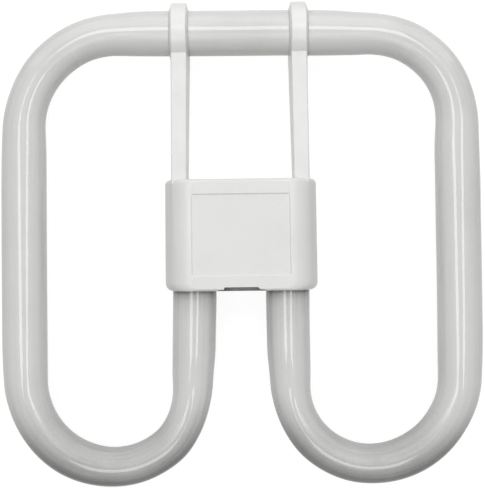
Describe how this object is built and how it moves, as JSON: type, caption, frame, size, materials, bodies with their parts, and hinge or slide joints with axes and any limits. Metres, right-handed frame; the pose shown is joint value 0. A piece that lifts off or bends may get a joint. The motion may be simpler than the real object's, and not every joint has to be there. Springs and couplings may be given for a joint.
{
  "type": "square compact fluorescent lamp",
  "caption": "Square compact fluorescent lamp: a flat glass tube bent into loops, held by a pin cap with arms clipped to the tube.",
  "frame": {"origin": "under the middle of the lamp's outline, at the level of the cap's back face, on which the lamp lies", "axes": "+X across the two legs of the tube, +Y to the straight top of the tube, +Z out of the front of the lamp"},
  "size_m": [0.138, 0.1386, 0.0272],
  "materials": {
    "coated_glass": "glossy glass over a matt white coating",
    "white_plastic": "satin moulded",
    "plated_brass": "nickel plated",
    "clear_glass": "clear",
    "yellow_film": "moulded box",
    "tinned_wire": "tinned",
    "woven_sleeve": "woven glass fibre"
  },
  "bodies": {
    "root": {"discharge_tube": "coated_glass", "front_cover": "white_plastic", "rear_cover": "white_plastic", "contact_pin_left": "plated_brass", "contact_pin_right": "plated_brass", "starter_bulb": "clear_glass", "starter_capacitor": "yellow_film", "crimp_ferrule_left": "plated_brass", "crimp_ferrule_right": "plated_brass", "pin_lead_left": "tinned_wire", "pin_lead_right": "tinned_wire", "pin_lead_left_sleeve": "woven_sleeve", "pin_lead_right_sleeve": "woven_sleeve", "starter_lead_left": "tinned_wire", "starter_lead_right": "tinned_wire", "starter_lead_left_sleeve": "woven_sleeve", "starter_lead_right_sleeve": "woven_sleeve"}
  },
  "joints": []
}
